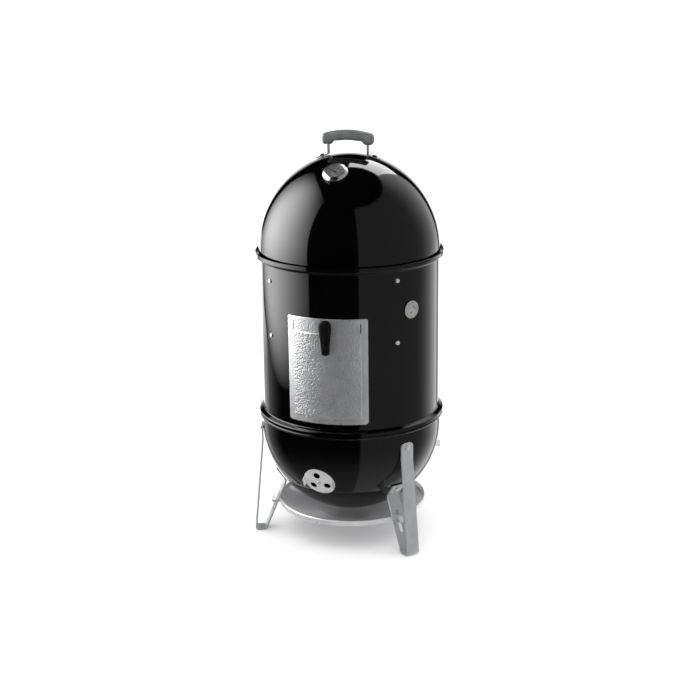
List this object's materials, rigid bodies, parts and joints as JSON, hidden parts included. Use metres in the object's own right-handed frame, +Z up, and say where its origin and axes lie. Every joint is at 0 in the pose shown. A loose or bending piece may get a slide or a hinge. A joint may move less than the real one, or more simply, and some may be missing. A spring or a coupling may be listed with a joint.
{
  "type": "vertical water smoker",
  "caption": "Upright charcoal water smoker: domed lid, drum with a side fuel door, round bowl on bent bar legs, with grates, a water pan, a charcoal ring and air dampers inside and out.",
  "frame": {"origin": "on the ground at the smoker's vertical axis", "axes": "+Z up, -Y towards the side with the fuel door, +X to the right seen from that side"},
  "size_m": [0.4843, 0.507, 1.041],
  "materials": {
    "enamel": "gloss black porcelain enamel",
    "leg_aluminium": "satin, lightly brushed flat bar",
    "shield_aluminium": "bright rolled sheet with soft handling marks",
    "damper_aluminium": "bright stamped sheet",
    "door_aluminium": "stucco embossed sheet",
    "zinc_steel": "bright zinc plated",
    "plated_wire": "nickel plated wire",
    "bare_steel": "plain steel wire and sheet",
    "galvanised_steel": "galvanised sheet",
    "nylon_black": "glass filled nylon, fine texture",
    "nylon_grey": "glass filled nylon, fine texture",
    "silicone": "light grey silicone",
    "chrome_bezel": "polished",
    "dial_face": "satin silver printed dial",
    "needle_black": "matt black",
    "dial_glass": "clear flat glass"
  },
  "bodies": {
    "base": {"charcoal_bowl": "enamel", "leg_front_left": "leg_aluminium", "leg_front_right": "leg_aluminium", "leg_rear": "leg_aluminium", "leg_upper_bolts": "zinc_steel", "leg_lower_bolts": "zinc_steel", "leg_nuts": "zinc_steel", "heat_shield": "shield_aluminium", "heat_shield_tabs": "shield_aluminium", "bowl_damper_rivets": "zinc_steel"},
    "bowl_damper_front": {"bowl_damper_front": "damper_aluminium"},
    "bowl_damper_right": {"bowl_damper_right": "damper_aluminium"},
    "bowl_damper_left": {"bowl_damper_left": "damper_aluminium"},
    "charcoal_grate": {"charcoal_grate": "bare_steel"},
    "charcoal_ring": {"charcoal_ring": "galvanised_steel"},
    "middle": {"middle_section": "enamel", "grate_strap_front_left": "galvanised_steel", "grate_strap_front_right": "galvanised_steel", "grate_strap_rear_right": "galvanised_steel", "grate_strap_rear_left": "galvanised_steel", "grate_strap_bolts": "zinc_steel", "grate_strap_nuts": "zinc_steel", "temperature_grommet": "silicone"},
    "water_pan": {"water_pan": "enamel"},
    "lower_grate": {"lower_cooking_grate": "plated_wire"},
    "upper_grate": {"upper_cooking_grate": "plated_wire"},
    "door": {"access_door": "door_aluminium"},
    "latch": {"door_latch_handle": "nylon_black", "door_latch_spindle": "zinc_steel", "door_latch_tongue": "zinc_steel", "door_latch_nut": "zinc_steel"},
    "lid": {"lid": "enamel", "lid_handle_bracket": "zinc_steel", "lid_handle_grip": "nylon_grey", "lid_handle_bolts": "zinc_steel", "lid_handle_nuts": "zinc_steel", "lid_damper_rivet": "zinc_steel", "thermometer_case": "chrome_bezel", "thermometer_dial": "dial_face", "thermometer_lens": "dial_glass", "thermometer_stem": "zinc_steel", "thermometer_nut": "zinc_steel"},
    "lid_damper": {"lid_damper": "damper_aluminium"},
    "thermometer_needle": {"thermometer_needle": "needle_black"}
  },
  "joints": [
    {"name": "middle_lift", "type": "slide", "parent": "base", "child": "middle", "axis": [0, 0, 1], "range_m": [0, 0.4]},
    {"name": "lid_lift", "type": "slide", "parent": "middle", "child": "lid", "axis": [0, 0, 1], "range_m": [0, 0.3]},
    {"name": "upper_grate_lift", "type": "slide", "parent": "middle", "child": "upper_grate", "axis": [0, 0, 1], "range_m": [0, 0.05]},
    {"name": "lower_grate_lift", "type": "slide", "parent": "middle", "child": "lower_grate", "axis": [0, 0, 1], "range_m": [0, 0.05]},
    {"name": "water_pan_lift", "type": "slide", "parent": "middle", "child": "water_pan", "axis": [0, 0, 1], "range_m": [0, 0.018]},
    {"name": "charcoal_grate_lift", "type": "slide", "parent": "base", "child": "charcoal_grate", "axis": [0, 0, 1], "range_m": [0, 0.015]},
    {"name": "charcoal_ring_lift", "type": "slide", "parent": "charcoal_grate", "child": "charcoal_ring", "axis": [0, 0, 1], "range_m": [0, 0.018]},
    {"name": "door_tilt", "type": "hinge", "parent": "middle", "child": "door", "pos_m": [0, -0.227, 0.355], "axis": [1, 0, 0], "range_deg": [0, 35]},
    {"name": "latch_turn", "type": "hinge", "parent": "door", "child": "latch", "pos_m": [0.00397, -0.22737, 0.595], "axis": [0.0175, -0.9998, 0], "range_deg": [0, 90]},
    {"name": "bowl_damper_front_turn", "type": "hinge", "parent": "base", "child": "bowl_damper_front", "pos_m": [-0.02874, -0.20451, 0.19305], "axis": [-0.1255, -0.8931, -0.4321], "range_deg": [0, 60]},
    {"name": "bowl_damper_right_turn", "type": "hinge", "parent": "base", "child": "bowl_damper_right", "pos_m": [0.19148, 0.07736, 0.19305], "axis": [0.8362, 0.3378, -0.4321], "range_deg": [0, 60]},
    {"name": "bowl_damper_left_turn", "type": "hinge", "parent": "base", "child": "bowl_damper_left", "pos_m": [-0.16274, 0.12715, 0.19305], "axis": [-0.7107, 0.5552, -0.4321], "range_deg": [0, 60]},
    {"name": "lid_damper_turn", "type": "hinge", "parent": "lid", "child": "lid_damper", "pos_m": [0, 0.12, 0.9475], "axis": [0, 0.5505, 0.8349], "range_deg": [0, 60]},
    {"name": "thermometer_needle_turn", "type": "hinge", "parent": "lid", "child": "thermometer_needle", "pos_m": [0, -0.116, 0.95008], "axis": [0, -0.5321, 0.8467], "range_deg": [-210, 0]}
  ]
}
